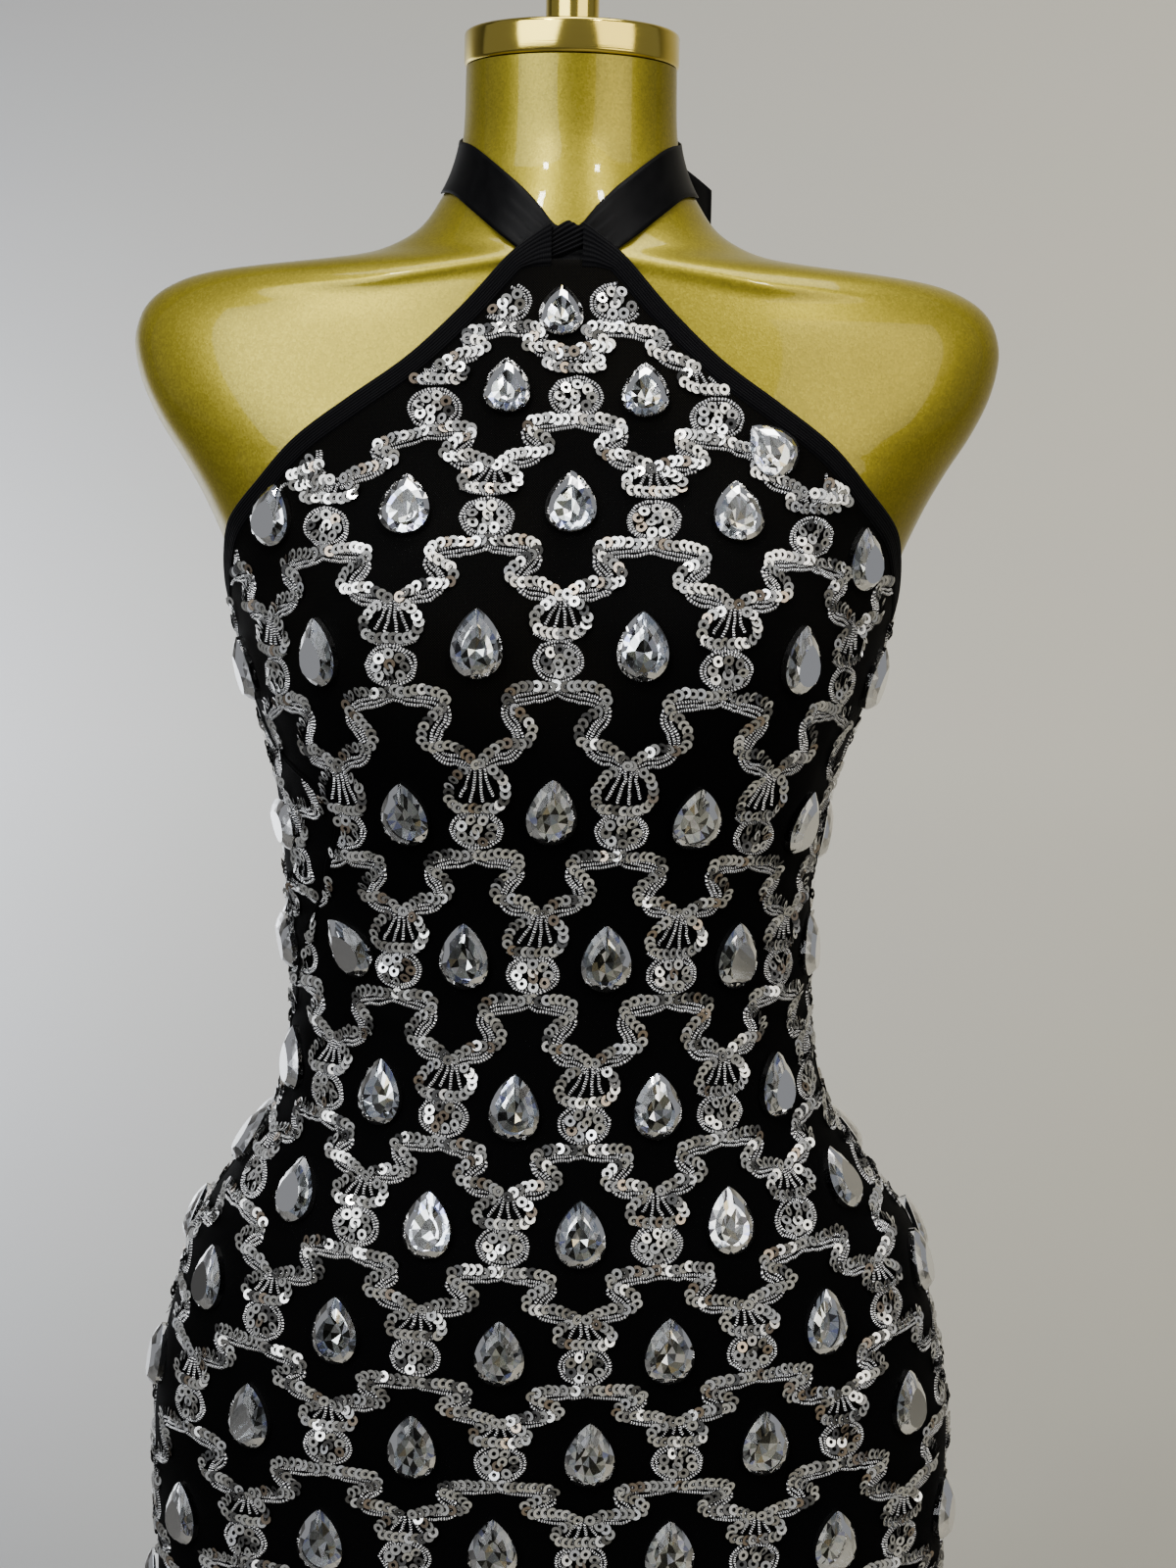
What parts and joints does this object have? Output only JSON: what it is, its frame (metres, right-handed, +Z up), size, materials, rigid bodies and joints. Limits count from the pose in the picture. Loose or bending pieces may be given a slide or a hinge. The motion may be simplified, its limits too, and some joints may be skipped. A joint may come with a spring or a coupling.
{
  "type": "maxi dress on a dress form",
  "caption": "Black mesh halter maxi dress with a sequin trellis and teardrop stones, on a gold limbless dress form with pole and round base.",
  "frame": {"origin": "centre of the stand base's underside, on the floor under the dress form", "axes": "+Z up; the front of the dress faces -Y; +X is the viewer's right when facing the front"},
  "size_m": [0.443, 0.3529, 1.5298],
  "materials": {
    "mesh_cloth": "fine black stretch mesh",
    "elastic_tape": "matte knitted elastic",
    "satin_ribbon": "black satin ribbon",
    "sequins": "silver cupped sequins",
    "silver_thread": "twisted metallic thread",
    "stones": "clear faceted crystal with foiled back",
    "gold_paint": "gold flake gloss lacquer",
    "gold_plate": "polished gold plate"
  },
  "bodies": {
    "root": {"dress_front": "mesh_cloth", "dress_back": "mesh_cloth", "armhole_tape_left": "elastic_tape", "armhole_tape_right": "elastic_tape", "back_tape": "elastic_tape", "casing_loop": "elastic_tape", "neck_ribbon": "satin_ribbon", "bow_knot": "satin_ribbon", "bow_loop_left": "satin_ribbon", "bow_loop_right": "satin_ribbon", "bow_tail_left": "satin_ribbon", "bow_tail_right": "satin_ribbon", "form_torso": "gold_paint", "neck_ring": "gold_plate", "neck_post": "gold_plate", "stand_pole": "gold_plate", "stand_base": "gold_plate"}
  },
  "joints": []
}
